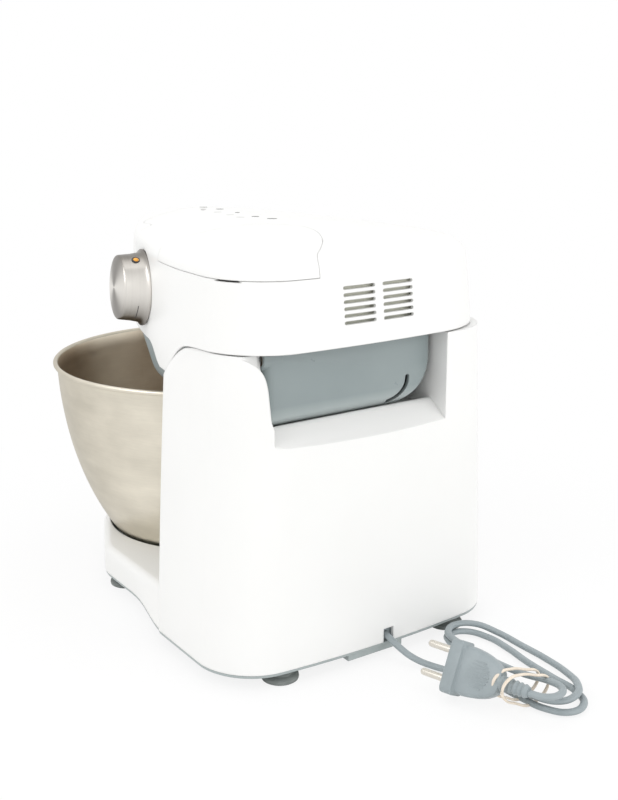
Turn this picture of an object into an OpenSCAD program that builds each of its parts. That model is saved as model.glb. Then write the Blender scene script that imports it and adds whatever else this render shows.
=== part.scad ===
/* [Overall] */
// Distance from the origin to the middle of the rear face
rear_x = 179; // [175:1:185]
// Distance from the origin back to the bowl's axis
bowl_x = 58; // [56:1:60]
// Moving clearance between casings
gap = 1; // [0.6:0.1:1.4]

/* [Body] */
// Width of the body at its foot
body_w = 234; // [228:1:238]
// Width of the body under the head
body_top_w = 208; // [204:1:210]
// Wall thickness of the body moulding
body_wall = 3; // [2.4:0.1:3.4]
// Height of the body's lower edge above the table
skirt_z = 11; // [10:0.5:12]
// Height of the bowl platform
platform_z = 50; // [48:0.5:52]
// Radius of the bowl platform round the bowl's axis
platform_r = 103; // [100:1:105]
// Depth of the pillar from front to rear at the top
pillar_d = 101; // [99:0.5:103]
// Height of the floor of the rear recess
trough_z = 169; // [168:0.5:170]
// Left side of the recess between the two shoulders
trough_y0 = -81; // [-83:0.5:-80]
// Right side of the recess between the two shoulders
trough_y1 = 54; // [53:0.5:55]

/* [Base] */
// Thickness of the base plate
plate_t = 2.5; // [2:0.1:3]
// Radius of a foot
foot_r = 12.8; // [11:0.1:14]

/* [Head] */
// Height of the head's lower edge
head_z = 225; // [224.5:0.5:226]
// Height of the head's crown
crown_z = 289.5; // [288:0.5:291]
// Height where the head's sides turn into its top
shoulder_z = 273; // [271:0.5:275]
// Height of the upper housing's edge in front of the pillar
edge_z = 211; // [210:0.5:212]
// Half width of the head at its lower edge
head_w = 106.5; // [104:0.5:107]
// Wall thickness of the head mouldings
head_wall = 2.5; // [2:0.1:3]
// Radius of the head's rear corner on the knob's side in plan
head_corner = 42; // [38:1:45]
// Radius of the head's other rear corner in plan
far_corner = 54; // [48:1:58]
// Length of the tapering front of the head
head_nose = 236; // [230:1:240]
// Height of the hinge axis
hinge_z = 219; // [218.5:0.5:219.5]
// Distance of the hinge axis from the rear face
hinge_in = 26; // [25.5:0.5:26.5]
// Radius of the hinge pins
pin_r = 4; // [3.5:0.1:4.2]
// Largest tilt of the head
tilt_max = 42; // [35:1:44]

/* [Bowl] */
// Outer radius of the bowl's rolled rim
rim_r = 121; // [118:0.5:122]
// Height of the bowl's rim
rim_z = 170; // [168:0.5:171]
// Thickness of the bowl's steel
bowl_t = 1.2; // [0.8:0.1:1.6]
// Radius of the platform's well round the bowl
well_r = 92; // [91:0.5:93]
// Height of the bowl's floor
bowl_floor = 33; // [32:0.5:35]

/* [Drive] */
// Gear module of the planetary set
ring_m = 1.25; // [1.2:0.05:1.25]
// Teeth of the fixed ring gear
ring_teeth = 54; // [54:6:54]
// Teeth of the planet pinion
planet_teeth = 18; // [18:2:18]
// Gear module of the reduction pair
spur_m = 1.25; // [1.2:0.05:1.25]
// Teeth of the main gear
main_teeth = 56; // [56:4:56]
// Teeth of the counter pinion
counter_teeth = 14; // [14:2:14]
// Play between gear flanks
backlash = 0.35; // [0.3:0.05:0.4]
// Radius of the tool socket's bore
socket_r = 5; // [4.5:0.1:5.5]

/* [Knob] */
// Radius of the speed knob's face
knob_r = 22.5; // [21:0.5:23]
// How far the speed knob stands out
knob_h = 18.5; // [17:0.5:20]

/* [Hidden] */
$fn = 48;

bulge = 1660;
hinge_x = rear_x - hinge_in;
pillar_x = rear_x - pillar_d;
lean = 0.145;
running = 0.05;
seat_z = bowl_floor - 10;
lever_x = rear_x - 47;
lever_z = 185;
lever_r = 4;
catch_x = lever_x - 13;
catch_y = 68;
catch_t = 3;
catch_w = 11;

// Points of a rear wall seen from above: half width w, corner radii r and q, rear face at x
function sag(y) = y * y / bulge;
function rear_pts(w, r, x, q) = concat(
    [for (t = [-90 : 15 : 0]) [x - r + r * cos(t) - sag(w - r - r * sin(t)), r - w + r * sin(t)]],
    [for (k = [-2 : 2]) [x - sag((w - r) * k / 3), (w - r) * k / 3]],
    [for (t = [0 : 15 : 90]) [x - q + q * cos(t) - sag(w - q + q * sin(t)), w - q + q * sin(t)]]);

// Front of the pillar, with corner radius r
function front_pts(w, r, x) = concat(
    [for (t = [90 : 30 : 180]) [x + r + r * cos(t), w - r + r * sin(t)]],
    [for (t = [180 : 30 : 270]) [x + r + r * cos(t), r - w + r * sin(t)]]);

// Front of the head: half a superellipse that tapers to the nose
function nose_pts(w, len, x) = [for (t = [95 : 5 : 265])
    [x + sign(cos(t)) * len * pow(abs(cos(t)), 1.25), sign(sin(t)) * w * pow(abs(sin(t)), 1.25)]];

module slice(z, pts) {
    translate([0, 0, z])
    linear_extrude(0.01)
    polygon(pts);
}

// A side view (x, z) pushed through from y0 to y1
module side_view(y0, y1, pts) {
    translate([0, y1, 0])
    rotate([90, 0, 0])
    linear_extrude(y1 - y0)
    polygon(pts);
}

// A round bar along Y
module bar_y(r, y0, y1) {
    translate([0, y0, 0])
    rotate([-90, 0, 0])
    cylinder(r = r, h = y1 - y0);
}

module tube(r_out, r_in, z0, z1) {
    translate([0, 0, z0])
    difference() {
        cylinder(r = r_out, h = z1 - z0);
        translate([0, 0, -1])
        cylinder(r = r_in, h = z1 - z0 + 2);
    }
}

// ---- Body ----

// The seam between head and shoulder, from the front of the shoulder to the rear
seam = [[-111, 197], [-105, 197], [-97, 206], [-86, 215], [-77, 220], [-68, 222], [-55, 223],
    [-27, 224], [20, head_z]];
function seam_pts(drop) = [for (p = seam) [rear_x + p[0], p[1] - drop]];

module pillar(d) {
    hull() {
        slice(skirt_z + d - (d > 0 ? 20 : 0), pillar_plan(body_w / 2 - d, 0, d));
        slice(110, pillar_plan(mid_half - d, 110, d));
        slice(head_z - d, pillar_plan(body_top_w / 2 - d, 225, d));
    }
}

function pillar_plan(w, z, d) = concat(rear_pts(w, 38 - d, rear_x - d, 38 - d),
    front_pts(w, 9 - d, pillar_x + d - lean * (205 - z)));

module platform(d) {
    translate([-bowl_x, 0, 0])
    hull() {
        translate([0, 0, skirt_z - (d > 0 ? 20 : 0)])
        cylinder(r = platform_r - d, h = platform_z - 9 - skirt_z + (d > 0 ? 20 : 0), $fn = 64);
        translate([0, 0, skirt_z])
        cylinder(r = platform_r - 6 - d, h = platform_z - skirt_z - d, $fn = 64);
        translate([platform_r - 20, d - platform_r, skirt_z - (d > 0 ? 20 : 0)])
        cube([60, 2 * (platform_r - d), platform_z - 9 - skirt_z + (d > 0 ? 20 : 0)]);
        translate([platform_r - 20, d + 6 - platform_r, skirt_z])
        cube([60, 2 * (platform_r - 6 - d), platform_z - skirt_z - d]);
    }
}

// The recess between the shoulders, which the lower head swings through
module trough(d) {
    side_view(trough_y0 - d, trough_y1 + d, [
        [rear_x + 20, trough_z - 16 - d], [rear_x, trough_z - 7 - d],
        [rear_x - 18, trough_z + 6 - d], [rear_x - 30, trough_z - d],
        [pillar_x - 30, trough_z - d], [pillar_x - 30, 260], [rear_x + 20, 260]]);
    // the right shoulder stands back behind the swinging skirt
    side_view(trough_y1 - 1, body_w / 2, [
        [rear_x + 20, trough_z - 13 - d], [rear_x, trough_z - 5 - d],
        [rear_x - 9 - d, trough_z + 11 - d], [rear_x - 11 - d, 260], [rear_x + 20, 260]]);
}

// Space that the rear edge of the head sweeps beside the recess
function edge_x(y, q) = rear_x - head_wall - gap - sag(y) - (abs(y) > head_w - q
    ? q - head_wall - gap - sqrt(max(0, pow(q - head_wall - gap, 2) - pow(abs(y) - head_w + q, 2)))
    : 0) - hinge_x;
function swing_r(y, q) = edge_x(y, q) < 0 ? 0 : norm([edge_x(y, q), head_z - hinge_z]) - 1;
module swing_sector(pts) {
    translate([hinge_x, 0, hinge_z])
    rotate([90, 0, 0])
    rotate([0, 0, 4 - tilt_max])
    rotate_extrude(angle = 86 + tilt_max)
    polygon(pts);
}

module swing_room(d) {
    low = pin_r + 5;
    near = head_w - 8.5;
    far = head_w - 9.5;
    swing_sector(concat([for (y = [-near : 3 : 36 - near])
        [max(swing_r(y, head_corner) - d, y < 8 - near ? 0 : low), -y]],
        [[60, near - 36], [60, near]]));
    swing_sector(concat([for (y = [far : -3 : far - 51])
        [max(swing_r(y, far_corner) - d, y > far - 17 ? 0 : low), -y]],
        [[60, 51 - far], [60, -far]]));
}

module body_housing() {
    color("white")
    difference() {
        union() {
            difference() {
                union() {
                    pillar(0);
                    platform(0);
                }
                difference() {
                    union() {
                        pillar(body_wall);
                        platform(body_wall);
                    }
                    trough(body_wall);
                    side_view(-130, 130, concat(seam_pts(gap + body_wall),
                        [[rear_x + 20, 260], [pillar_x - 30, 260], [pillar_x - 30, 194]]));
                    swing_room(body_wall);
                    translate([-bowl_x, 0, seat_z - body_wall])
                    cylinder(r = well_r + body_wall, h = 40);
                }
                trough(0);
                side_view(-130, 130, concat(seam_pts(gap),
                    [[rear_x + 20, 260], [pillar_x - 30, 260], [pillar_x - 30, 196]]));
                swing_room(0);
            }
            // bosses that hold the hinge pins
            translate([hinge_x, 0, hinge_z]) {
                bar_y(pin_r + 3, trough_y0 - 9, trough_y0 - 1);
                bar_y(pin_r + 3, trough_y1 + 1, trough_y1 + 14);
            }
        }
        translate([hinge_x, 0, hinge_z]) {
            bar_y(pin_r, trough_y0 - 7.5, trough_y0 + 1);
            bar_y(pin_r, trough_y1 - 1, trough_y1 + 12);
        }
        // well for the bowl's seat
        translate([-bowl_x, 0, seat_z])
        cylinder(r = well_r, h = 40);
        // opening that the cord leaves through
        translate([rear_x - 12, 3, 0])
        cube([24, 8.5, skirt_z + 10]);
        // bores for the release lever's shaft
        translate([lever_x, 0, lever_z])
        bar_y(lever_r + running, trough_y1 - 10, body_w / 2 + 10);
        // slot in the shoulder's top that the catch swings through
        translate([catch_x - 8, catch_y - 1, head_z - 20])
        cube([catch_t + 9, catch_w + 2, 30]);
    }
}

module base_plate() {
    color("darkgray")
    union() {
        intersection() {
            union() {
                pillar(body_wall + 0.4);
                platform(body_wall + 0.4);
            }
            translate([-200, -130, skirt_z - plate_t])
            cube([400, 260, plate_t]);
        }
        // flange under the edge of the body
        intersection() {
            translate([0, 0, -0.3 - plate_t])
            union() {
                pillar(0.3);
                platform(0.3);
            }
            translate([-200, -130, skirt_z - 2 * plate_t])
            cube([400, 260, plate_t]);
        }
        // step under the cord's opening
        translate([rear_x - 22, -26, 4.5])
        cube([20, 46, skirt_z - 2 * plate_t - 4]);
    }
}

foot_at = [[rear_x - 16, 72], [rear_x - 16, -72], [-34, 89], [-34, -89]];
module rubber_feet() {
    color("dimgray")
    for (p = foot_at) translate([p[0], p[1], 0])
    difference() {
        union() {
            cylinder(r = foot_r, h = 3.4);
            translate([0, 0, 3.4])
            cylinder(r1 = foot_r, r2 = foot_r - 5, h = skirt_z - 2 * plate_t - 3.4);
        }
        translate([0, 0, -1])
        cylinder(r = foot_r - 6, h = 2.6);
    }
}

module base_screws() {
    color("silver")
    for (p = [[150, 40], [150, -40], [86, 86], [86, -86], [-130, 0]])
    translate([p[0], p[1], skirt_z - 2 * plate_t - 1.6])
    cylinder(r = 3.4, h = 1.6);
}

// ---- Bowl ----

function bowl_r(z) = (rim_r - 3) * sqrt(1 - pow((175 - z) / 193, 2));
bowl_zs = [for (k = [0 : 11]) bowl_floor + 7 + k * (rim_z - 10 - bowl_floor) / 11];

module bowl() {
    color("silver")
    translate([-bowl_x, 0, 0])
    rotate_extrude($fn = 72)
    polygon(concat([[0, bowl_floor]], [[bowl_r(bowl_floor) - 9, bowl_floor]],
        [for (z = bowl_zs) [bowl_r(z), z]],
        [[rim_r - 2.5, rim_z - 2], [rim_r, rim_z - 1.5], [rim_r, rim_z], [rim_r - 3.4, rim_z]],
        [for (k = [11 : -1 : 0]) [bowl_r(bowl_zs[k]) - bowl_t, bowl_zs[k]]],
        [[bowl_r(bowl_floor) - 10, bowl_floor + bowl_t], [0, bowl_floor + bowl_t]]));
}

// Collar under the bowl, with three lugs for the twist lock
collar_r = 60;
module bowl_collar() {
    color("silver")
    translate([-bowl_x, 0, 0])
    union() {
        tube(collar_r, collar_r - 2, bowl_floor - 6, bowl_floor);
        for (a = [0, 120, 240])
        rotate([0, 0, a])
        translate([0, 0, bowl_floor - 6])
        rotate_extrude(angle = 26)
        translate([collar_r - 1, 0])
        square([5, 2]);
    }
}

// Seat in the platform's well: a dish with three lips over the lugs
module bowl_seat() {
    color("darkslategray")
    translate([-bowl_x, 0, 0])
    union() {
        translate([0, 0, seat_z])
        cylinder(r = well_r - 0.4, h = 2.6);
        tube(collar_r + 10, collar_r + 6, seat_z + 2, bowl_floor - 0.3);
        for (a = [0, 120, 240])
        rotate([0, 0, a - 2])
        translate([0, 0, bowl_floor - 3.4])
        rotate_extrude(angle = 32)
        translate([collar_r + 0.6, 0])
        square([7, 2.4]);
        tube(well_r - 0.4, well_r - 1.8, seat_z + 2, platform_z - 2);
    }
}

// ---- Head ----

function head_plan(w, d, x) = concat(rear_pts(w - d, head_corner - d, x - d, far_corner - d),
    nose_pts(w - d, head_nose - d - 2 * (rear_x - x), x - 69));

module head_form(d) {
    hull() {
        slice(190, head_plan(head_w, d, rear_x));
        slice(head_z, head_plan(head_w, d, rear_x));
        slice(shoulder_z - 0.3 * d, head_plan(head_w - 2.5, d, rear_x - 4.5));
        slice(shoulder_z + 5 - 0.7 * d, head_plan(head_w - 6, d, rear_x - 8));
        slice(shoulder_z + 9 - d, head_plan(head_w - 14, d, rear_x - 15));
        slice(crown_z - 4.5 - d, head_plan(head_w - 38, d, rear_x - 42));
        slice(crown_z - d, head_plan(head_w - 80, d, rear_x - 84));
    }
}

// Everything above the head's lower edge, cheeks included
module above_edge(up) {
    side_view(-130, 130, concat(
        [[-230, 300], [-230, edge_z + up], [rear_x - 144, edge_z + up],
        [rear_x - 132, edge_z - 7 + up], [rear_x - 121, seam[0][1] + up]],
        [for (p = seam) [rear_x + p[0], p[1] + up]],
        [[rear_x + 20, 300]]));
}

// Plan of the corner cover over the high-speed outlet
module cover_column(grow) {
    translate([0, 0, shoulder_z - 3.5 - grow])
    linear_extrude(40)
    polygon([[rear_x + 20, -52 + grow], [rear_x - 10, -46 + grow], [rear_x - 30, -30 + grow],
        [rear_x - 50, -15 + grow], [rear_x - 76, -5 + grow], [rear_x - 98, -8 + grow],
        [rear_x - 116 - grow, -25], [rear_x - 122 - grow, -50], [rear_x - 120 - grow, -130],
        [rear_x + 20, -130]]);
}

// Cap round the nose, over the slow-speed outlet
nose_seam = [[-15, -130], [-17, -66], [-45, -57], [-62, -30], [-66, 0], [-62, 30], [-45, 57],
    [-17, 66], [-15, 130]];
module nose_column(grow) {
    translate([0, 0, head_z + 9 - grow])
    linear_extrude(70)
    polygon(concat([for (p = nose_seam) [p[0] + grow, p[1] - sign(p[1]) * grow]],
        [[-200, 130], [-200, -130]]));
}

deck_z = 262.5;
motor_x = rear_x - 78;
motor_y = -36;
knob_at = [16, 16.8 - head_w, 244.5];
module at_knob() {
    translate(knob_at)
    rotate([86, 0, -12])
    children();
}

module vent_slots() {
    for (y0 = [-31, -0.5], k = [0 : 5])
    translate([rear_x - 14, y0, 238.5 + 4.4 * k])
    cube([30, 24.5, 2.2]);
}

module head_upper_housing() {
    color("white")
    difference() {
        union() {
            difference() {
                intersection() {
                    head_form(0);
                    above_edge(0);
                }
                head_form(head_wall);
                cover_column(0.35);
                nose_column(0.35);
            }
            // deck of the outlet well under the corner cover
            intersection() {
                head_form(head_wall - 0.5);
                translate([0, 0, -20])
                cover_column(-0.5);
                translate([-200, -130, deck_z])
                cube([400, 260, 2.5]);
            }
            // frame behind the nose cap
            difference() {
                intersection() {
                    head_form(head_wall - 0.5);
                    translate([-64, -28, deck_z - 14])
                    cube([3, 56, 60]);
                }
                nose_column(0.35);
            }
        }
        vent_slots();
        translate([motor_x, motor_y, 200])
        cylinder(r = 21, h = 100);
        at_knob() {
            translate([0, 0, -20])
            cylinder(r = 5, h = 40);
            translate([0, 0, 0.6])
            cylinder(r = knob_r + 5.2, h = 20);
        }
        translate([-80, 0, deck_z + 3])
        rotate([0, 90, 0])
        cylinder(r = 10, h = 30);
    }
}

module high_speed_cover() {
    color("white")
    intersection() {
        difference() {
            head_form(0);
            head_form(head_wall);
        }
        cover_column(0);
    }
}

module slow_speed_cover() {
    color("white")
    intersection() {
        difference() {
            head_form(0);
            head_form(head_wall);
        }
        nose_column(0);
    }
}

// Lower head: the belly that swings in the recess, and the tray under the nose
belly_z = trough_z + 2.5;
belly_y0 = trough_y0 + 2 * gap;
belly_y1 = trough_y1 - 2 * gap;
belly_r = 15;
module belly(d) {
    intersection() {
        side_view(-130, 130, [
            [rear_x - 15 - d, head_z + 1 + 9 * sign(d)], [rear_x - 15 - d, belly_z + 20],
            [rear_x - 16 - d, belly_z + 13.5], [rear_x - 18.8 - d, belly_z + 7.5],
            [rear_x - 23.5 - d, belly_z + 3 + d / 2], [rear_x - 30 - d, belly_z + 0.5 + d],
            [rear_x - 38 - d, belly_z + d],
            [rear_x - 158 + d / 2, belly_z + d], [rear_x - 166 + d / 2, belly_z + 3 + d],
            [rear_x - 196 + d, head_z - 8], [rear_x - 202 + d, head_z + 1 + 9 * sign(d)]]);
        rotate([90, 0, 90])
        translate([0, 0, -60])
        linear_extrude(260)
        polygon(concat(
            [for (t = [180 : 15 : 270]) [belly_y0 + belly_r + (belly_r - d) * cos(t),
                belly_z + belly_r + (belly_r - d) * sin(t)]],
            [for (t = [270 : 15 : 360]) [belly_y1 - belly_r + (belly_r - d) * cos(t),
                belly_z + belly_r + (belly_r - d) * sin(t)]],
            [[belly_y1 - d, 260], [belly_y0 + d, 260]]));
        translate([0, 0, 150])
        linear_extrude(100)
        polygon(head_plan(head_w, 3.3 + d, rear_x));
    }
}

tray_z = head_z - 12;
module tray(d) {
    intersection() {
        hull() {
            slice(tray_z + d, head_plan(head_w, 8 + d, rear_x));
            slice(tray_z + 3.5 + d / 2, head_plan(head_w, 3.3 + d, rear_x));
            slice(head_z + 1.5 + 9 * sign(d), head_plan(head_w, 3.3 + d, rear_x));
        }
        translate([-300, -200, 100])
        cube([300 + rear_x - 114.5 - d, 400, 200]);
    }
}

hub_x = -bowl_x;
module head_lower_housing() {
    color("slategray")
    difference() {
        union() {
            difference() {
                union() {
                    belly(0);
                    tray(0);
                }
                belly(head_wall);
                tray(head_wall);
            }
            // bosses for the hinge bushes
            translate([hinge_x, 0, hinge_z]) {
                bar_y(pin_r + 4, belly_y0 + 1, belly_y0 + 12);
                bar_y(pin_r + 4, belly_y1 - 12, belly_y1 - 1);
            }
        }
        translate([hinge_x, 0, hinge_z]) {
            bar_y(pin_r + 2, belly_y0 - 5, belly_y0 + 9);
            bar_y(pin_r + 2, belly_y1 - 9, belly_y1 + 5);
        }
        translate([hub_x, 0, tray_z - 60])
        cylinder(r = hub_r + 1.5, h = 80);
        // curved slot low in the rear wall
        translate([rear_x - 30, 32, belly_z + 26])
        rotate([90, 0, 90])
        rotate([0, 0, -80])
        rotate_extrude_slot();
    }
}

module rotate_extrude_slot() {
    difference() {
        linear_extrude(40)
        intersection() {
            difference() {
                circle(r = 27);
                circle(r = 24.2);
            }
            polygon([[0, 0], [60, 0], [60, 44]]);
        }
    }
}

module hinge_pins() {
    color("silver")
    translate([hinge_x, 0, hinge_z]) {
        bar_y(pin_r, trough_y0 - 7.5, belly_y0 + 8.5);
        bar_y(pin_r, belly_y1 - 8.5, trough_y1 + 12);
    }
}

module bush_y(y0, y1) {
    difference() {
        bar_y(pin_r + 2 - running, y0, y1);
        bar_y(pin_r + running, y0 - 1, y1 + 1);
    }
}

module hinge_bushes() {
    color("burlywood")
    translate([hinge_x, 0, hinge_z]) {
        bush_y(belly_y0, belly_y0 + 8.6);
        bush_y(belly_y1 - 8.6, belly_y1);
    }
}

// ---- Head release ----

mid_half = (body_w + body_top_w) / 4 + 1.5;
lever_y = body_top_w / 2 + (mid_half - body_top_w / 2) * (head_z - lever_z) / (head_z - 110) + 0.7;
module release_lever() {
    color("slategray")
    translate([lever_x, 0, lever_z])
    union() {
        bar_y(lever_r, trough_y1 + 0.4, lever_y + 1);
        bar_y(9, lever_y, lever_y + 5);
        translate([-6, lever_y + 3, -34])
        cube([12, 4.5, 34]);
        translate([0, 0, -34])
        bar_y(6, lever_y + 3, lever_y + 7.5);
    }
}

module latch_hook() {
    color("silver")
    translate([lever_x, 0, lever_z])
    difference() {
        union() {
            bar_y(8, catch_y + 2, catch_y + 8);
            translate([-4, catch_y + 2, 0])
            cube([8, 6, 27]);
            translate([catch_x + catch_t + 0.4 - lever_x, catch_y + 2, 22])
            cube([lever_x - catch_x - catch_t, 6, 5]);
        }
        bar_y(lever_r, catch_y, catch_y + 12);
    }
}

// A wire coil along Z: radius r, wire radius w, length len
module coil(r, w, turns, len) {
    sweep([for (k = [0 : 12 * turns]) [r * cos(30 * k), r * sin(30 * k),
        w + (len - 2 * w) * k / (12 * turns)]], w, 8);
}

module latch_spring() {
    color("silver")
    translate([lever_x, catch_y + 8.3, lever_z])
    rotate([-90, 0, 0])
    coil(lever_r + 0.9, 0.8, 5, 14);
}

// Bracket on the lower head, which the hook catches
module catch_bar() {
    color("silver")
    union() {
        translate([catch_x, belly_y1, head_z + 0.5])
        cube([10, catch_y + catch_w - belly_y1, 3]);
        translate([catch_x, belly_y1, head_z - 5])
        cube([10, 2, 8]);
        translate([catch_x, catch_y, head_z - 18])
        cube([catch_t, catch_w, 20]);
    }
}

// ---- Speed control ----

lens_turn = 62;
lens_h = 8.8;
lens_r = 2.9;
module speed_knob() {
    color("silver")
    at_knob()
    difference() {
        rotate_extrude($fn = 72)
        polygon([[0, 1], [knob_r + 4.3, 1], [knob_r + 4.3, 1.8], [knob_r + 2.4, 3],
            [knob_r + 1.4, 5.2], [knob_r, knob_h], [knob_r - 0.8, knob_h + 0.6],
            [0, knob_h + 2.6]]);
        translate([0, 0, 0.9])
        cylinder(r = 4, h = 12);
        rotate([0, 0, lens_turn])
        translate([knob_r - 2.4, 0, lens_h])
        rotate([0, 90, 0])
        cylinder(r = lens_r, h = 8);
    }
}

module knob_lens() {
    color("orange")
    at_knob()
    rotate([0, 0, lens_turn])
    translate([knob_r - 2.4, 0, lens_h])
    rotate([0, 90, 0])
    cylinder(r = lens_r, h = 4);
}

module knob_spindle() {
    color("silver")
    at_knob()
    translate([0, 0, -16])
    cylinder(r = 4, h = 28.9);
}

module speed_switch() {
    color("black")
    at_knob()
    difference() {
        translate([-14, -12, -22])
        cube([28, 24, 17.5]);
        translate([0, 0, -16.5])
        cylinder(r = 4 + running, h = 20);
    }
}

module control_board() {
    color("green")
    translate([rear_x - 118, belly_y1 - head_wall - 1.6, belly_z + 18])
    cube([58, 1.6, 26]);
}

// ---- Motor ----

shaft_r = 4;
module at_motor() {
    translate([motor_x, motor_y, 0])
    children();
}

module motor_stator() {
    color("gray")
    at_motor()
    difference() {
        tube(34, 20.6, 196, 230);
        for (a = [45, 225])
        rotate([0, 0, a])
        translate([0, 0, 190])
        linear_extrude(50)
        polygon([[18, -9], [27, -12], [27, 12], [18, 9]]);
    }
}

module motor_windings() {
    color("peru")
    at_motor()
    for (a = [45, 225])
    rotate([0, 0, a])
    intersection() {
        tube(26.9, 21, 191, 235);
        translate([18, -8.5, 180])
        cube([14, 17, 60]);
    }
}

arm_turns = [30, 105, 180];
module bracket_arms(z, t) {
    translate([0, 0, z])
    cylinder(r = 12, h = t);
    for (a = arm_turns)
    rotate([0, 0, a])
    translate([0, -4, z])
    cube([40, 8, t]);
}

module motor_bracket() {
    color("silver")
    at_motor()
    difference() {
        union() {
            bracket_arms(belly_z + head_wall, 3);
            translate([0, 0, belly_z + head_wall])
            cylinder(r = 12, h = 9);
            bracket_arms(243, 3);
            translate([0, 0, 238])
            cylinder(r = 12, h = 8);
            for (a = arm_turns)
            rotate([0, 0, a])
            translate([37.1, 0, belly_z + head_wall])
            cylinder(r = 3, h = 246 - belly_z - head_wall);
        }
        translate([0, 0, belly_z + head_wall + 1.5])
        cylinder(r = 9, h = 12);
        translate([0, 0, 236])
        cylinder(r = 9, h = 8.5);
        translate([0, 0, 240])
        cylinder(r = shaft_r + 1, h = 20);
    }
}

module motor_shaft() {
    color("silver")
    at_motor()
    translate([0, 0, belly_z + head_wall + 2])
    cylinder(r = shaft_r, h = 272 - belly_z - head_wall - 2);
}

module motor_armature() {
    color("dimgray")
    at_motor()
    difference() {
        union() {
            tube(20, shaft_r, 196, 230);
            tube(11, shaft_r, 230, 236);
        }
        for (a = [0 : 30 : 330])
        rotate([0, 0, a])
        translate([20, 0, 190])
        cylinder(r = 1.4, h = 50, $fn = 16);
    }
}

module motor_bearings() {
    color("lightgray")
    at_motor() {
        tube(9, shaft_r + running, belly_z + head_wall + 1.5, belly_z + head_wall + 8.5);
        tube(9, shaft_r + running, 238.3, 244.5);
    }
}

fan_blades = 9;
module cooling_fan() {
    color("whitesmoke")
    at_motor()
    difference() {
        union() {
            translate([0, 0, 257])
            cylinder(r = 28, h = 1);
            cylinder_at(8, 257, 262);
            for (a = [0 : 360 / fan_blades : 359])
            rotate([0, 0, a])
            translate([7, -0.6, 257])
            cube([21, 1.2, 5]);
        }
        translate([0, 0, 250])
        cylinder(r = shaft_r, h = 20);
    }
}

module cylinder_at(r, z0, z1) {
    translate([0, 0, z0])
    cylinder(r = r, h = z1 - z0);
}

belt_z = 249;
belt_w = 6;
belt_t = 2;
small_pulley_r = 10;
large_pulley_r = 35;
module drive_pulley() {
    color("silver")
    at_motor()
    difference() {
        union() {
            cylinder_at(small_pulley_r, belt_z, belt_z + belt_w);
            cylinder_at(small_pulley_r + 2, belt_z - 1.5, belt_z - 0.3);
            cylinder_at(small_pulley_r - 3, belt_z - 1.5, belt_z);
            cylinder_at(small_pulley_r + 2, belt_z + belt_w + 0.3, belt_z + belt_w + 1.5);
            cylinder_at(small_pulley_r - 3, belt_z + belt_w, belt_z + belt_w + 1.5);
        }
        cylinder_at(shaft_r, 240, 270);
    }
}

module high_speed_coupling() {
    color("dimgray")
    at_motor()
    difference() {
        union() {
            cylinder_at(9, 263, 266);
            cylinder_at(15, 266, 268);
            for (a = [0 : 60 : 300])
            rotate([0, 0, a])
            translate([9, -2, 268])
            cube([6, 4, 6]);
            cylinder_at(7, 268, 274);
        }
        cylinder_at(shaft_r, 260, 272);
    }
}

// The belt's loop: two circles and their outer tangents
module belt_outline(grow) {
    counter_v = [counter_x - motor_x, -motor_y];
    len = norm(counter_v);
    tilt = atan2(counter_v[1], counter_v[0]);
    r1 = small_pulley_r + 0.2 + grow;
    r2 = large_pulley_r + 0.2 + grow;
    lift = acos((r1 - r2) / len);
    translate([motor_x, motor_y])
    rotate(tilt)
    polygon(concat(
        [for (k = [0 : 12]) let (t = lift + (360 - 2 * lift) * k / 12) [r1 * cos(t), r1 * sin(t)]],
        [for (k = [0 : 24]) let (t = -lift + 2 * lift * k / 24)
            [len + r2 * cos(t), r2 * sin(t)]]));
}

module drive_belt() {
    color("black")
    translate([0, 0, belt_z])
    linear_extrude(belt_w)
    difference() {
        belt_outline(belt_t);
        belt_outline(0.15);
    }
}

// ---- Gears ----

// Outline of an involute gear: addendum a, dedendum d and play p cut from each tooth
function inv(r, rb) = let (c = min(1, rb / r)) tan(acos(c)) * 180 / PI - acos(c);
function gear_pts(m, z, a, d, p) = let (rp = m * z / 2, rb = rp * cos(20), ro = rp + a,
    ri = rp - d, half = 90 / z - p / (2 * rp) * 180 / PI + inv(rp, rb),
    steps = [0, 0.3, 0.65, 1], r0 = max(ri, rb))
    [for (i = [0 : z - 1]) each let (c = 360 * i / z) concat(
        [[ri * cos(c - half - 0.01), ri * sin(c - half - 0.01)]],
        [for (s = steps) let (r = r0 + (ro - r0) * s, t = c - half + inv(r, rb))
            [r * cos(t), r * sin(t)]],
        [for (s = [1, 0.65, 0.3, 0]) let (r = r0 + (ro - r0) * s, t = c + half - inv(r, rb))
            [r * cos(t), r * sin(t)]],
        [[ri * cos(c + half + 0.01), ri * sin(c + half + 0.01)]])];

module gear(m, z, a, d, z0, z1, bore, turn) {
    translate([0, 0, z0])
    difference() {
        rotate([0, 0, turn])
        linear_extrude(z1 - z0)
        polygon(gear_pts(m, z, a, d, backlash / 2));
        translate([0, 0, -1])
        cylinder(r = bore, h = z1 - z0 + 2);
    }
}

ring_rp = ring_m * ring_teeth / 2;
planet_rp = ring_m * planet_teeth / 2;
planet_off = ring_rp - planet_rp;
hub_r = ring_rp + 5;
counter_off = spur_m * (main_teeth + counter_teeth) / 2;
counter_x = hub_x + counter_off;
main_r = spur_m * (main_teeth / 2 + 1);

module at_hub() {
    translate([hub_x, 0, 0])
    children();
}

module ring_gear() {
    color("gainsboro")
    at_hub()
    translate([0, 0, tray_z + head_wall])
    linear_extrude(head_z - tray_z - head_wall - 0.3)
    difference() {
        circle(r = ring_rp + 8.5);
        polygon(gear_pts(ring_m, ring_teeth, ring_m * 1.25, ring_m * 0.85, -backlash / 2));
    }
}

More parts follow.
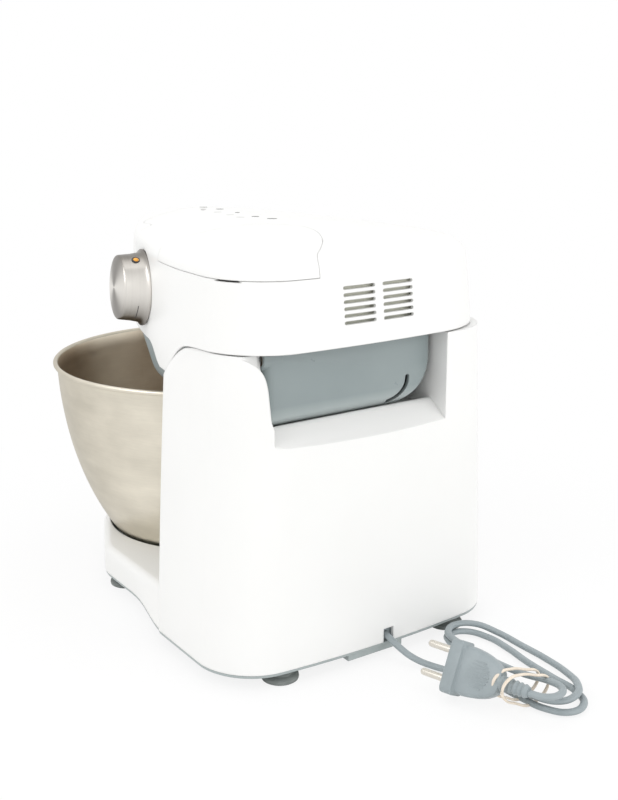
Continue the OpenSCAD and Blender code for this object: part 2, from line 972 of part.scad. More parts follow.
frame_r = ring_rp + 13.5;
module frame_plate(z, t) {
    cylinder_at(frame_r, z, z + t);
    translate([0, -14, z])
    cube([counter_off, 28, t]);
    translate([counter_off, 0, 0])
    cylinder_at(14, z, z + t);
}

module gearbox_frame() {
    color("silver")
    at_hub()
    difference() {
        union() {
            frame_plate(head_z, 4);
            cylinder_at(17, head_z, head_z + 7);
            tube(ring_rp + 10.5, ring_rp + 8.6, tray_z + head_wall, head_z);
            difference() {
                frame_plate(243, 3);
                cylinder_at(26, 240, 250);
            }
            for (a = [75, 180, 285])
            rotate([0, 0, a])
            translate([main_r + 6, 0, 0])
            cylinder_at(5, head_z, 244);
            rotate([0, 0, 135])
            translate([3 - frame_r, -5, 243])
            cube([2 * frame_r - 6, 10, 3]);
            rotate([0, 0, 45])
            translate([3 - frame_r, -5, 243])
            cube([2 * frame_r - 6, 10, 3]);
            cylinder_at(14, 243, 247);
        }
        cylinder_at(12, head_z - 1, head_z + 6);
        cylinder_at(7, head_z, 260);
        cylinder_at(11, 242, 246);
        translate([counter_off, 0, 0]) {
            cylinder_at(9, head_z - 1, head_z + 4.5);
            cylinder_at(9, 242, 250);
        }
    }
}

hub_shaft_r = 6;
module hub_shaft() {
    color("silver")
    at_hub()
    cylinder_at(hub_shaft_r, tray_z - 8, 246);
}

module hub_bearings() {
    color("lightgray")
    at_hub() {
        tube(12, hub_shaft_r + running, head_z, head_z + 6);
        tube(11, hub_shaft_r + running, 242, 246);
    }
}

module main_gear() {
    color("ivory")
    at_hub()
    gear(spur_m, main_teeth, spur_m, spur_m * 1.25, 233.5, 241, hub_shaft_r, 0);
}

module driven_pulley() {
    color("silver")
    translate([counter_x, 0, 0])
    difference() {
        union() {
            cylinder_at(large_pulley_r, belt_z, belt_z + belt_w);
            cylinder_at(large_pulley_r + 2, belt_z - 1.3, belt_z - 0.3);
            cylinder_at(large_pulley_r - 1, belt_z - 1.3, belt_z);
            cylinder_at(4, head_z + 0.3, belt_z + belt_w + 3);
        }
        for (a = [0 : 60 : 300])
        rotate([0, 0, a])
        translate([21, 0, 240])
        cylinder(r = 7, h = 30);
    }
}

module counter_pinion() {
    color("silver")
    translate([counter_x, 0, 0])
    gear(spur_m, counter_teeth, spur_m * 0.9, spur_m * 1.2, 233, 241.5, 4, 180 / counter_teeth);
}

module counter_bearings() {
    color("lightgray")
    translate([counter_x, 0, 0]) {
        tube(9, 4 + running, head_z, head_z + 4);
        tube(9, 4 + running, 242.5, 246);
    }
}

module planet_carrier() {
    color("gainsboro")
    at_hub()
    difference() {
        union() {
            cylinder_at(hub_r, tray_z - 8, tray_z - 1);
            cylinder_at(9, tray_z - 8, head_z - 4);
        }
        cylinder_at(hub_shaft_r, tray_z - 20, 250);
        translate([-planet_off, 0, 0])
        cylinder_at(spindle_r + 2, tray_z - 20, tray_z + 20);
    }
}

spindle_r = 8;
module spindle_bush() {
    color("burlywood")
    at_hub()
    translate([-planet_off, 0, 0])
    tube(spindle_r + 2, spindle_r + running, tray_z - 8, tray_z - 0.6);
}

module tool_spindle() {
    color("silver")
    at_hub()
    translate([-planet_off, 0, 0])
    difference() {
        union() {
            cylinder_at(spindle_r, tray_z - 34, head_z - 1.5);
            cylinder_at(spindle_r + 1.6, tray_z - 11, tray_z - 8.4);
        }
        cylinder_at(socket_r, tray_z - 40, tray_z - 12);
        // cross slot for the tool's pin
        translate([-12, -1.7, tray_z - 40])
        cube([24, 3.4, 14]);
    }
}

module planet_pinion() {
    color("ivory")
    at_hub()
    translate([-planet_off, 0, 0])
    gear(ring_m, planet_teeth, ring_m * 0.9, ring_m * 1.2, tray_z + 3.5, head_z - 1.5, spindle_r, 0);
}

module head_screws() {
    color("silver")
    for (p = [[-24, head_w - 40.5, tray_z], [-24, 40.5 - head_w, tray_z],
        [95, belly_y1 - 32, belly_z], [95, belly_y0 + 24, belly_z]])
    translate([p[0], p[1], p[2] - 1.6])
    cylinder(r = 3, h = 1.6);
}

// ---- Cord ----

cord_r = 2.5;
hank_a = [196, 66];
hank_b = [300, 48];
hank_r = 15;
hank_h = 22;
route = [[160, 7, 15], [176, 7, 15], [184, 8, 12], [193, 12, 6], [205, 18, 3], [218, 26, 3],
    [228, 36, 3], [229.6, 45, 3]];

function unit(v) = v / norm(v);
function tangent(p, i) = unit(p[min(i + 1, len(p) - 1)] - p[max(i - 1, 0)]);
function ring(c, t, r, n) = let (s = unit(cross([0, 0, 1], t)), u = cross(t, s))
    [for (k = [0 : n - 1]) c + r * (cos(360 * k / n) * s + sin(360 * k / n) * u)];

module sweep(p, r, n) {
    last = len(p) - 1;
    polyhedron([for (i = [0 : last]) each ring(p[i], tangent(p, i), r, n)],
        concat([[for (k = [0 : n - 1]) k]],
            [for (i = [0 : last - 1], k = [0 : n - 1])
                [i * n + k, (i + 1) * n + k, (i + 1) * n + (k + 1) % n, i * n + (k + 1) % n]],
            [[for (k = [n - 1 : -1 : 0]) last * n + k]]));
}

module cord_gland() {
    color("dimgray")
    difference() {
        translate([164, 2, skirt_z])
        cube([11, 10.5, 9.5]);
        translate([150, 7, 15])
        rotate([0, 90, 0])
        cylinder(r = cord_r + 0.1, h = 40);
    }
}

module mains_cord() {
    color("slategray")
    sweep(route, cord_r, 10);
}

module cord_hank() {
    color("slategray")
    translate([0, 0, 0.7])
    linear_extrude(hank_h)
    hull() {
        translate(hank_a)
        circle(r = hank_r);
        translate(hank_b)
        circle(r = hank_r);
    }
}

module cord_bands() {
    color("beige")
    for (x = [283, 291])
    translate([x, 0, 0])
    rotate([90, 0, 90])
    linear_extrude(3)
    difference() {
        translate([11.5, 0])
        square([56, 26.2]);
        translate([12.5, 0.7])
        square([54, 24.5]);
    }
}

module at_plug() {
    translate([243, 8, 20.4])
    rotate([28, 0, 197.5])
    children();
}

module plug_body() {
    color("slategray")
    at_plug()
    union() {
        rotate([90, 0, 0])
        translate([0, 0, -8.5])
        linear_extrude(17)
        polygon(concat([[0, -17], [0, 17], [-1, 18], [-9, 18], [-10, 16.5]],
            [for (t = [80 : -20 : 20]) [-38 + 27 * sin(t), 5 + 11.5 * (1 - pow(cos(t), 2))]],
            [[-38, 5], [-38, -5]],
            [for (t = [20 : 20 : 80]) [-38 + 27 * sin(t), -5 - 11.5 * (1 - pow(cos(t), 2))]],
            [[-10, -16.5], [-9, -18], [-1, -18]]));
        translate([-62, 0, 0])
        rotate([0, 90, 0])
        cylinder(r1 = 3.4, r2 = 5, h = 24.5);
    }
}

module plug_pins() {
    color("silver")
    at_plug()
    for (z = [-9.5, 9.5])
    translate([0, 0, z])
    rotate([0, 90, 0])
    cylinder(r = 2.4, h = 19);
}

body_housing();
base_plate();
rubber_feet();
base_screws();
bowl_seat();
bowl();
bowl_collar();
head_upper_housing();
head_lower_housing();
high_speed_cover();
slow_speed_cover();
hinge_pins();
hinge_bushes();
release_lever();
latch_hook();
latch_spring();
catch_bar();
speed_knob();
knob_lens();
knob_spindle();
speed_switch();
control_board();
motor_stator();
motor_windings();
motor_bracket();
motor_shaft();
motor_armature();
motor_bearings();
cooling_fan();
drive_pulley();
high_speed_coupling();
drive_belt();
driven_pulley();
counter_pinion();
counter_bearings();
gearbox_frame();
main_gear();
hub_shaft();
hub_bearings();
ring_gear();
planet_carrier();
planet_pinion();
tool_spindle();
spindle_bush();
head_screws();
cord_gland();
mains_cord();
cord_hank();
cord_bands();
plug_body();
plug_pins();
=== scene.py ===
from math import cos, pi, radians, sin, sqrt
import bpy
import bmesh
from mathutils import Matrix, Vector


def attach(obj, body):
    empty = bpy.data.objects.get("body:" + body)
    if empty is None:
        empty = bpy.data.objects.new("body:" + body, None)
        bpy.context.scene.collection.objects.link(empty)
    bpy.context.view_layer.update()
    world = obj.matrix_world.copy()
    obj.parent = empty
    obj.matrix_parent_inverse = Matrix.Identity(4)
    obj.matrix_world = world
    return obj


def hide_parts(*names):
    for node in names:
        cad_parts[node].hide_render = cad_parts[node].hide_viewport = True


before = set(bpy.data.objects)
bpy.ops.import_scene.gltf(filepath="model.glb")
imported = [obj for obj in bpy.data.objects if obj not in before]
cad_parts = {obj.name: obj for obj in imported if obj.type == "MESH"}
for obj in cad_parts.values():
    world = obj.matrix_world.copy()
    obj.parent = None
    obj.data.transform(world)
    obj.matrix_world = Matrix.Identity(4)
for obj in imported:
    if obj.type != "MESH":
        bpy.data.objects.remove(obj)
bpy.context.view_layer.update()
scene = bpy.context.scene
scene.view_settings.view_transform = "Standard"

# ---- Camera ----
# It stands off the rear corner on the speed knob's side, a little above the machine,
# and looks forward past the pillar to the bowl.
ahead = Vector((-0.7959, 0.5421, -0.2695)).normalized()
rightward = Vector((0.563, 0.8265, 0)).normalized()
upward = rightward.cross(ahead)
camera = bpy.data.objects.new("camera", bpy.data.cameras.new("camera"))
scene.collection.objects.link(camera)
camera.data.lens = 54
camera.data.sensor_width = 36
camera.data.clip_start = 0.01
camera.matrix_world = Matrix.Translation((0.773, -0.464, 0.396)) @ Matrix(
    (rightward, upward, -ahead)).transposed().to_4x4()
scene.camera = camera


# ---- Mains cord ----
# A flat two-core flex with a moulded plug. It leaves the rear wall low down, drops to the
# table and is folded into a hank, which two bands hold against the plug's strain relief.
class Signal:
    """The value of one socket in a material. Sums, products and powers add Math nodes."""

    def __init__(self, tree, socket):
        self.tree, self.socket = tree, socket

    def node(self, kind, settings=None, inputs=None, out=0):
        """Adds a shader node: its settings first, then the value or link of each input."""
        made = self.tree.nodes.new("ShaderNode" + kind)
        for key, value in (settings or {}).items():
            setattr(made, key, value)
        for key, value in (inputs or {}).items():
            if isinstance(value, Signal):
                self.tree.links.new(value.socket, made.inputs[key])
            else:
                made.inputs[key].default_value = value
        return Signal(self.tree, made.outputs[out])

    def math(self, operation, first, second=0.0):
        """A Math node on two values."""
        return self.node("Math", {"operation": operation}, {0: first, 1: second})

    def __add__(self, other):
        return self.math("ADD", self, other)

    def __sub__(self, other):
        return self.math("SUBTRACT", self, other)

    def __rsub__(self, other):
        return self.math("SUBTRACT", other, self)

    def __mul__(self, other):
        return self.math("MULTIPLY", self, other)

    def __pow__(self, other):
        return self.math("POWER", self, other)

    __radd__ = __add__
    __rmul__ = __mul__

    def noise(self, scale, detail=2.0, stretch=(1, 1, 1), turn=(0, 0, 0)):
        """Cloudy values round 0.5 over the object, drawn out by stretch."""
        placed = self.node("Mapping", {}, {"Vector": self, "Scale": stretch, "Rotation": turn})
        return placed.node("TexNoise", {}, {"Vector": placed, "Scale": scale, "Detail": detail})

    def tint(self, low, high):
        """A colour between two, by this value."""
        return self.node("Mix", {"data_type": "RGBA"}, {0: self, 6: (*low, 1), 7: (*high, 1)}, 2)

    def feed(self, name):
        """Links this value to the shader's socket of that name."""
        shader = self.tree.nodes["Principled BSDF"]
        self.tree.links.new(self.socket, shader.inputs[name])

    def relief(self, depth, edge=0.0):
        """This value as fine relief of the surface, over edges rounded by edge metres."""
        inputs = {"Height": self, "Distance": depth, "Strength": 1.0}
        if edge:
            inputs["Normal"] = self.node("Bevel", {"samples": 6}, {"Radius": edge})
        self.node("Bump", {}, inputs).feed("Normal")


finishes = {}


def finish(name, **sockets):
    """A material whose constants sit on its shader; returns its object coordinates."""
    material = bpy.data.materials.new(name)
    material.use_nodes = True
    finishes[name] = material
    shader = material.node_tree.nodes["Principled BSDF"]
    for key, value in sockets.items():
        shader.inputs[key.replace("_", " ")].default_value = value
    where = material.node_tree.nodes.new("ShaderNodeTexCoord").outputs["Object"]
    return Signal(material.node_tree, where)


# Soft grey vinyl with the faint ripple of its extrusion, and the plug's plated pins.
place = finish("cord_plastic", Specular_IOR_Level=0.45)
cloud = place.noise(90, 3)
cloud.tint((0.26, 0.30, 0.315), (0.33, 0.375, 0.39)).feed("Base Color")
(0.34 + 0.12 * place.noise(240, 2)).feed("Roughness")
place.noise(1500, 1).relief(0.00003)

place = finish("pin_nickel", Metallic=1.0, Roughness=0.25)
place.noise(700, 2, (1, 1, 6)).tint((0.62, 0.58, 0.52), (0.80, 0.77, 0.70)).feed("Base Color")
(0.2 + 0.2 * place.noise(500, 3)).feed("Roughness")
place.noise(2500, 1).relief(0.00001)

place = finish("band_plastic", Specular_IOR_Level=0.4)
place.noise(220, 3).tint((0.72, 0.62, 0.50), (0.84, 0.76, 0.66)).feed("Base Color")
(0.45 + 0.2 * place.noise(400, 2)).feed("Roughness")
place.noise(900, 2).relief(0.00004)

# The cord's centre line in millimetres: the lead, the hank's folds, the way to the plug.
cord_route = [(160, 7, 15), (176, 7, 15), (188, 8, 11), (201, 12, 6), (215, 20, 3), (234, 30, 3),
              (256, 37, 3), (278, 39, 3), (296, 42, 3), (308, 52, 3), (306, 66, 3), (292, 74, 3),
              (270, 75, 3), (246, 76, 3), (222, 79, 3), (202, 79, 3), (188, 71, 4), (186, 57, 5),
              (197, 47, 7), (218, 43, 8), (244, 42, 8), (268, 40, 8), (288, 41, 8), (301, 50, 8),
              (301, 64, 8), (291, 76, 7), (272, 86, 4), (248, 90, 3), (224, 90, 3), (203, 87, 5),
              (189, 79, 8), (183, 66, 9), (189, 53, 10), (204, 45, 12), (226, 44, 13),
              (250, 45, 13), (271, 48, 14), (289, 52, 16), (300, 51, 17), (307, 43, 18),
              (306, 32, 19), (297, 25, 20), (288, 22, 20.4)]


def curve_piece(name, points, material, wide, thick, cyclic=False):
    """A bent strip or wire through points in millimetres."""
    data = bpy.data.curves.new(name, "CURVE")
    data.dimensions = "3D"
    data.twist_mode = "Z_UP"
    data.bevel_depth = thick / 2000
    data.extrude = (wide - thick) / 2000
    data.bevel_resolution = 4
    data.resolution_u = data.render_resolution_u = 8
    data.use_fill_caps = True
    spline = data.splines.new("BEZIER")
    spline.bezier_points.add(len(points) - 1)
    spline.use_cyclic_u = cyclic
    for knot, point in zip(spline.bezier_points, points):
        knot.co = Vector(point) * 0.001
        knot.handle_left_type = knot.handle_right_type = "AUTO"
        knot.tilt = pi / 2
    data.materials.append(material)
    made = bpy.data.objects.new(name, data)
    scene.collection.objects.link(made)
    return made


cord = curve_piece("flex", cord_route, finishes["cord_plastic"], 5.0, 3.8)
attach(cord, "body")
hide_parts("mains_cord", "cord_hank")


def loft(rings, capped=True):
    """A solid skinned over closed outlines of as many points each."""
    bm = bmesh.new()
    last = None
    for ring in rings:
        verts = [bm.verts.new(point) for point in ring]
        edges = [bm.edges.new((verts[k - 1], verts[k])) for k in range(len(verts))]
        if last:
            bmesh.ops.bridge_loops(bm, edges=last + edges)
        elif capped:
            bmesh.ops.contextual_create(bm, geom=edges)
        last = edges
    if capped:
        bmesh.ops.contextual_create(bm, geom=last)
    bmesh.ops.recalc_face_normals(bm, faces=bm.faces)
    return bm


core = 0.01  # a turned solid keeps a hairline of this radius on its axis


def turned(profile, steps=72):
    """A solid turned on the Z axis from a profile of (radius, height)."""
    bm = bmesh.new()
    verts = [bm.verts.new((r, 0, z)) for r, z in profile]
    edges = [bm.edges.new(pair) for pair in zip(verts, verts[1:])]
    if profile[0][0] and profile[-1][0]:
        edges.append(bm.edges.new((verts[-1], verts[0])))
    bmesh.ops.spin(bm, geom=verts + edges, cent=(0, 0, 0), axis=(0, 0, 1), angle=2 * pi,
                   steps=steps, use_merge=True)
    bmesh.ops.remove_doubles(bm, verts=bm.verts, dist=0.001)
    bmesh.ops.recalc_face_normals(bm, faces=bm.faces)
    return bm


def placed(bm, *moves):
    """Moves a shape: each move is a matrix, the last one first."""
    for move in reversed(moves):
        bmesh.ops.transform(bm, matrix=move, verts=bm.verts)
    return bm


def joined(*shapes):
    """Puts several shapes into the first one's mesh, uncut."""
    for shape in shapes[1:]:
        carrier = bpy.data.meshes.new("carrier")
        shape.to_mesh(carrier)
        shape.free()
        shapes[0].from_mesh(carrier)
        bpy.data.meshes.remove(carrier)
    return shapes[0]


def made(bm, name, material, body, slot, *nodes, sharp=32):
    """Turns a shape in millimetres into a piece on its body, which stands for CAD nodes."""
    placed(bm, Matrix.Scale(0.001, 4))
    mesh = bpy.data.meshes.new(name)
    bm.to_mesh(mesh)
    bm.free()
    mesh.materials.append(finishes[material])
    mesh.shade_smooth()
    mesh.set_sharp_from_angle(angle=radians(sharp))
    piece = bpy.data.objects.new(name, mesh)
    scene.collection.objects.link(piece)
    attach(piece, body)
    if nodes:
        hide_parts(*nodes)
    return piece


turn_x, turn_y, turn_z = (lambda a: Matrix.Rotation(radians(a), 4, "X"),
                          lambda a: Matrix.Rotation(radians(a), 4, "Y"),
                          lambda a: Matrix.Rotation(radians(a), 4, "Z"))
at_plug = Matrix.Translation((243, 8, 20.4)) @ turn_z(197.5) @ turn_x(28)
pin_spacing, pin_length, pin_r = 19, 19, 2.4


def plug_outline(x):
    """Half height of the plug's rounded body at x behind its face, past its grip."""
    return 5 + 11.5 * sqrt(max(0, 1 - ((x - 10) / 28.5) ** 2))


def plug_ring(x, half, thick, corner):
    """A rounded rectangle across the plug, x behind its face."""
    return [(-x, (thick - corner) * sx + corner * cos(radians(a)),
             (half - corner) * sz + corner * sin(radians(a)))
            for sx, sz, start in ((1, 1, 0), (-1, 1, 90), (-1, -1, 180), (1, -1, 270))
            for a in (start, start + 30, start + 60, start + 90)]


plug_levels = [(0.0, 16.6, 7.2, 3), (0.8, 17.4, 8, 3), (2, 17.6, 8.4, 3), (9, 17.6, 8.4, 3),
               (9.6, 16.4, 6.4, 3), (10.2, 15.6, 5.8, 3)]
plug_levels += [(x, plug_outline(x) - 0.4, 5.8 - 0.9 * ((x - 12) / 26) ** 2, 3)
                for x in (13, 17, 21, 25, 29, 32, 35, 37, 38)]
plug = loft([plug_ring(*level) for level in plug_levels])
# The strain relief: a taper with five grooves, from the plug's back to the cord.
relief = [(5.3 - 0.08 * k - (0.9 if k % 2 else 0), -38.5 - 1.6 * k) for k in range(11)]
neck = turned([(core, -37), (5.4, -37), *relief, (3.4, -57), (core, -57)], 32)
plug = joined(plug, placed(neck, turn_y(90)))
# Nine moulded ribs on each flat side give the fingers a hold.
for side in (-1, 1):
    for k in range(9):
        z, rib = 2.1 * (k - 4), 16 - 0.45 * (k - 4) ** 2
        plug = joined(plug, loft([[(x, side * 5.2, z - 0.45), (x, side * 5.95, z - 0.3),
                                   (x, side * 5.95, z + 0.3), (x, side * 5.2, z + 0.45)]
                                  for x in (-23 + rib / 2, -23 - rib / 2)]))
made(placed(plug, at_plug), "mains_plug", "cord_plastic", "body", "cord_plastic", "plug_body")
pin_profile = [(core, -1), (pin_r, -1), (pin_r, pin_length - 2.4), (pin_r - 0.3, pin_length - 0.8),
               (1.3, pin_length), (core, pin_length)]
pins = [placed(turned(pin_profile, 24), Matrix.Translation((0, 0, z)), turn_y(90))
        for z in (-pin_spacing / 2, pin_spacing / 2)]
made(placed(joined(*pins), at_plug), "plug_pin_pair", "pin_nickel", "body", "pin_nickel",
     "plug_pins")

# Two rubbery bands, taut round the relief and the hank's strands.
for number, x in enumerate((277, 286)):
    loop = [(x, 13.4, 20), (x + 1, 18, 27), (x + 1, 28, 27), (x, 42, 22), (x, 53, 17),
            (x - 1, 54, 9), (x - 1, 45, 2.6), (x, 36, 2.4), (x, 26, 7), (x, 16, 13)]
    band = curve_piece(f"tie_band_{number + 1}", loop, finishes["band_plastic"], 2.4, 1.5, True)
    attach(band, "body")
    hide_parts("cord_bands")

# ---- Feet ----
# Four round feet moulded in grey rubber. The stem of each is pressed into the base plate and
# its lip stands on the table.
place = finish("foot_rubber", Specular_IOR_Level=0.3)
place.noise(160, 4).tint((0.15, 0.165, 0.16), (0.24, 0.26, 0.25)).feed("Base Color")
(0.6 + 0.2 * place.noise(300, 2)).feed("Roughness")
place.noise(1200, 2).relief(0.00005)
foot_profile = [(core, 1.6), (6.8, 1.6), (7.2, 0.3), (7.8, 0), (11.6, 0), (12.5, 0.6), (12.8, 1.8),
                (12.6, 3.0), (11.6, 3.9), (9.0, 4.6), (7.9, 6), (7.9, 8.6), (core, 8.6)]
foot_spots = ((163, 72), (163, -72), (-34, 89), (-34, -89))
feet = [placed(turned(foot_profile, 48), Matrix.Translation((x, y, 0))) for x, y in foot_spots]
made(joined(*feet), "feet", "foot_rubber", "body", "foot_rubber", "rubber_feet")

# ---- Body moulding ----
# One white moulding: the round platform under the bowl and the pillar with its two shoulders,
# between which the head's belly swings. The seam under the head runs along the shoulders.
place = finish("white_plastic", Specular_IOR_Level=0.5, Coat_Roughness=0.15)
patina = place.noise(14, 3)
patina.tint((0.80, 0.80, 0.785), (0.84, 0.84, 0.83)).feed("Base Color")
(0.30 + 0.10 * place.noise(45, 4)).feed("Roughness")
place.noise(1800, 2).relief(0.000012, 0.0011)

rear_x, bulge = 179, 1660  # the rear wall's middle, and twice the radius of its bow
bowl_x = -58  # axis of the bowl, its well and the planet drive
hinge_x, hinge_z = 153, 219
lever_x, lever_z = 132, 185


def rear_wall(w, r, x, q):
    """The bowed rear wall seen from above: half width w, corner radii r and q."""
    r, q = min(r, 0.75 * w), min(q, 0.75 * w)
    near = [(x - r + r * cos(radians(t)), r - w + r * sin(radians(t))) for t in range(-90, 1, 5)]
    flat = [(x, r - w + (2 * w - r - q) * k / 12) for k in range(1, 12)]
    far = [(x - q + q * cos(radians(t)), w - q + q * sin(radians(t))) for t in range(0, 91, 5)]
    return [(px - py * py / bulge, py) for px, py in near + flat + far]


def pillar_ring(z, d=0.0):
    """Outline of the pillar at z, drawn in by d. Its sides lean in as they rise."""
    w = 117 - 0.0465 * (z - 11) - 0.00006 * (z - 11) ** 2 - d
    x, r = 68 + d, 9 - d
    front = [(x + r + r * cos(radians(t)), w - r + r * sin(radians(t))) for t in range(95, 181, 17)]
    front += [(px, -py) for px, py in reversed(front)]
    return [(px, py, z) for px, py in rear_wall(w, 38 - d, rear_x - d, 38 - d) + front]


def pillar(d=0.0):
    """The pillar's solid. Drawn in by d it goes on below the base, to hollow the moulding."""
    low = 11 if d == 0 else -9
    return loft([pillar_ring(z, d) for z in [low, *range(24, 216, 12), 225 - d]])


def platform_ring(z, inset=0.0):
    """Outline of the platform at z: its foot flares to meet the pillar's sides."""
    half = [(bowl_x + (87.5 - inset) * cos(radians(t)), (87.5 - inset) * sin(radians(t)))
            for t in range(180, 115, -5)]
    half += [(-32 + (40 - inset) * cos(radians(t)), 64 + (40 - inset) * sin(radians(t)))
             for t in range(114, 89, -6)]
    for x in range(-12, 93, 8):
        rise = min(1, max(0, (x - 6) / 78))
        flare = 12.5 * rise * rise * (3 - 2 * rise) * min(1, max(0, (27 - z) / 16))
        half.append((x, 104 - inset + flare))
    return [(x, y, z) for x, y in half] + [(x, -y, z) for x, y in reversed(half[1:])]


def platform(d=0.0):
    """The platform's solid with its rounded top edge, drawn in by d."""
    steps = [(-9.0 if d else 11.0, d), (15, d), (19, d), (23, d), (27, d)]
    steps += [(27 + (6 - d) * sin(radians(t)), d + 6 * (1 - cos(radians(t))))
              for t in (20, 40, 55, 70, 80, 90)]
    return loft([platform_ring(z, inset) for z, inset in steps])


def prism(side, y0, y1):
    """A side view of (x, z) pushed through from y0 to y1."""
    return loft([[(x, y, z) for x, z in side] for y in (y0, y1)])


def smooth(points, steps=4, closed=False):
    """A rounded line through the points."""
    ends = points[-1:] + points + points[:2] if closed else points[:1] + points + points[-1:]
    line = []
    for k in range(1, len(ends) - 2):
        a, b, c, d = (Vector(p) for p in ends[k - 1:k + 3])
        for s in range(steps):
            t = s / steps
            line.append(tuple(0.5 * ((2 * b) + (c - a) * t + (2 * a - 5 * b + 4 * c - d) * t * t
                                     + (3 * b - a - 3 * c + d) * t ** 3)))
    return line if closed else line + [tuple(points[-1])]


def carve(bm, tool, operation="DIFFERENCE"):
    """Cuts the tool's solid from a shape, or joins or crosses the two."""
    shapes = []
    for shape in (bm, tool):
        mesh = bpy.data.meshes.new("stock")
        shape.to_mesh(mesh)
        shape.free()
        shapes.append(bpy.data.objects.new("stock", mesh))
        scene.collection.objects.link(shapes[-1])
    cutter = shapes[0].modifiers.new("cutter", "BOOLEAN")
    cutter.operation, cutter.solver, cutter.object = operation, "EXACT", shapes[1]
    bpy.context.view_layer.update()
    result = bmesh.new()
    result.from_object(shapes[0], bpy.context.evaluated_depsgraph_get())
    for shape in shapes:
        bpy.data.meshes.remove(shape.data)
    bmesh.ops.remove_doubles(result, verts=result.verts, dist=0.005)
    return result


seam_side = smooth([(68, 197), (74, 197), (82, 206), (93, 215), (102, 220), (111, 222), (124, 223),
                    (152, 224), (199, 225)])


def above_seam(drop):
    """All that lies over the shoulders' top, lowered by drop."""
    side = [(x, z - drop) for x, z in seam_side] + [(199, 262), (40, 262), (40, 196 - drop)]
    return prism(side, -130, 130)


recess_side = smooth([(199, 153), (179, 162.5), (168, 170), (162, 174.4), (158.5, 174.6),
                      (154, 171), (149, 169)], 3) + [(48, 169), (48, 260), (199, 260)]


def recess(d=0.0):
    """The trough between the shoulders, where the belly lies, grown by d."""
    return prism([(x, z - d if z < 250 else z) for x, z in recess_side], -81 - d, 54 + d)


def shoulder_fall(line):
    """Rounds a shoulder off at its rear, where the head's edge swings down inside it."""
    (y0, z0), (y1, _) = line[0], line[-1]
    ring = smooth(line) + [(y1, 262), (y0 * 0.8, 262), (y0 * 0.8, z0)]
    return loft([[(x, y, z + lift) for y, z in ring]
                 for x, lift in ((156.5, 44), (160, 0), (205, 0))])


def rod(r, y0, y1, x=hinge_x, z=hinge_z, steps=32):
    """A round bar along Y, on the hinge's axis if no other is given."""
    return placed(turned([(core, y0), (r, y0), (r, y1), (core, y1)], steps),
                  Matrix.Translation((x, 0, z)), turn_x(-90))


def post(r, z0, z1, x, y=0, steps=48):
    """A round bar along Z."""
    return placed(turned([(core, z0), (r, z0), (r, z1), (core, z1)], steps),
                  Matrix.Translation((x, y, 0)))


def block(x0, x1, y0, y1, z0, z1):
    """A plain box between the given limits."""
    return loft([[(x, y0, z0), (x, y1, z0), (x, y1, z1), (x, y0, z1)] for x in (x0, x1)])


near_fall = [(-80.8, 176.5), (-82.6, 182), (-83.4, 192), (-84.2, 203), (-85.6, 210.5),
             (-88.2, 215.8), (-92, 219.4), (-97, 222), (-104, 223.6), (-119, 225)]
wall, well_r = 3, 82
cord_mouth = block(167, 191, 3, 11.5, 0, 21)
latch_slot = block(106, 128, 66, 81, 205, 235)
shaft_bore = rod(4.3, 44, 127, lever_x, lever_z)
cavity = carve(pillar(wall), platform(wall), "UNION")
for hollow in (recess(wall), above_seam(1 + wall), block(148, 200, -130, 130, 150, 240),
               post(well_r + wall, 14, 63, bowl_x)):
    cavity = carve(cavity, hollow)
shell = carve(pillar(), platform(), "UNION")
for cut in (cavity, recess(), above_seam(1), shoulder_fall(near_fall),
            post(well_r, 17, 63, bowl_x, steps=96), cord_mouth, shaft_bore, latch_slot):
    shell = carve(shell, cut)
made(shell, "body_moulding", "white_plastic", "body", "white_plastic", "body_housing")

# ---- Base plate ----
# Grey moulded plate that closes the body from below, with a flange under the body's edge and a
# step under the cord's opening.
place = finish("grey_plastic", Specular_IOR_Level=0.5)
# The grey is painted paler in a narrow band 176 mm up, along the belly's lower edge: a painted
# reflection of the white shelf beneath it. Lower parts are also paler towards the table.
height = place.node("SeparateXYZ", {}, {"Vector": place}, out=2)
painted_shelf_reflection = height.math("ABSOLUTE", height - 0.176) * -90.0 + 1.0
low = height * -14.0 + 0.85
paler = painted_shelf_reflection.math("MAXIMUM", painted_shelf_reflection, low.math("MAXIMUM", low, 0.0))
shade = 0.25 * place.noise(25, 3) + 0.75 * paler
shade.tint((0.225, 0.268, 0.272), (0.44, 0.485, 0.48)).feed("Base Color")
(0.24 + 0.12 * place.noise(60, 4)).feed("Roughness")
place.noise(1600, 2).relief(0.000012, 0.0008)


def slab(z0, z1, inset):
    """A flat plate with the outline of the pillar and the platform, drawn in by inset."""
    return joined(loft([pillar_ring(z, inset) for z in (z0, z1)]),
                  loft([platform_ring(z, inset) for z in (z0, z1)]))


cord_step = block(157, 177.5, -26, 20, 4.5, 9)
plate = joined(slab(8.5, 11, 3.4), slab(8.9, 10.8, 0.5), cord_step)
made(plate, "bottom_plate", "grey_plastic", "body", "grey_plastic", "base_plate")


# ---- Bowl seat ----
# A dish of grey plastic set into the platform's well. Three lips on its floor hold the
# lugs of the bowl's collar when the bowl is turned.
def arcs(r0, r1, z0, z1, start, sweep):
    """Three short curved bars round the Z axis."""
    shapes = []
    for turn in (0, 120, 240):
        angles = [radians(start + turn + sweep * k / 8) for k in range(9)]
        ring = [(r0 * cos(a), r0 * sin(a)) for a in angles]
        ring += [(r1 * cos(a), r1 * sin(a)) for a in reversed(angles)]
        shapes.append(loft([[(x, y, z) for x, y in ring] for z in (z0, z1)]))
    return shapes


seat = turned([(core, 17), (81.7, 17), (81.7, 30.6), (81.2, 31), (80.4, 30.6), (80.4, 19), (70, 19),
               (70, 24.5), (66.5, 24.5), (66.5, 19), (core, 19)], 96)
at_bowl = Matrix.Translation((bowl_x, 0, 0))
seat = placed(joined(seat, *arcs(61, 67, 22, 24.2, -2, 32)), at_bowl)
made(seat, "seat_dish", "grey_plastic", "body", "grey_plastic", "bowl_seat")

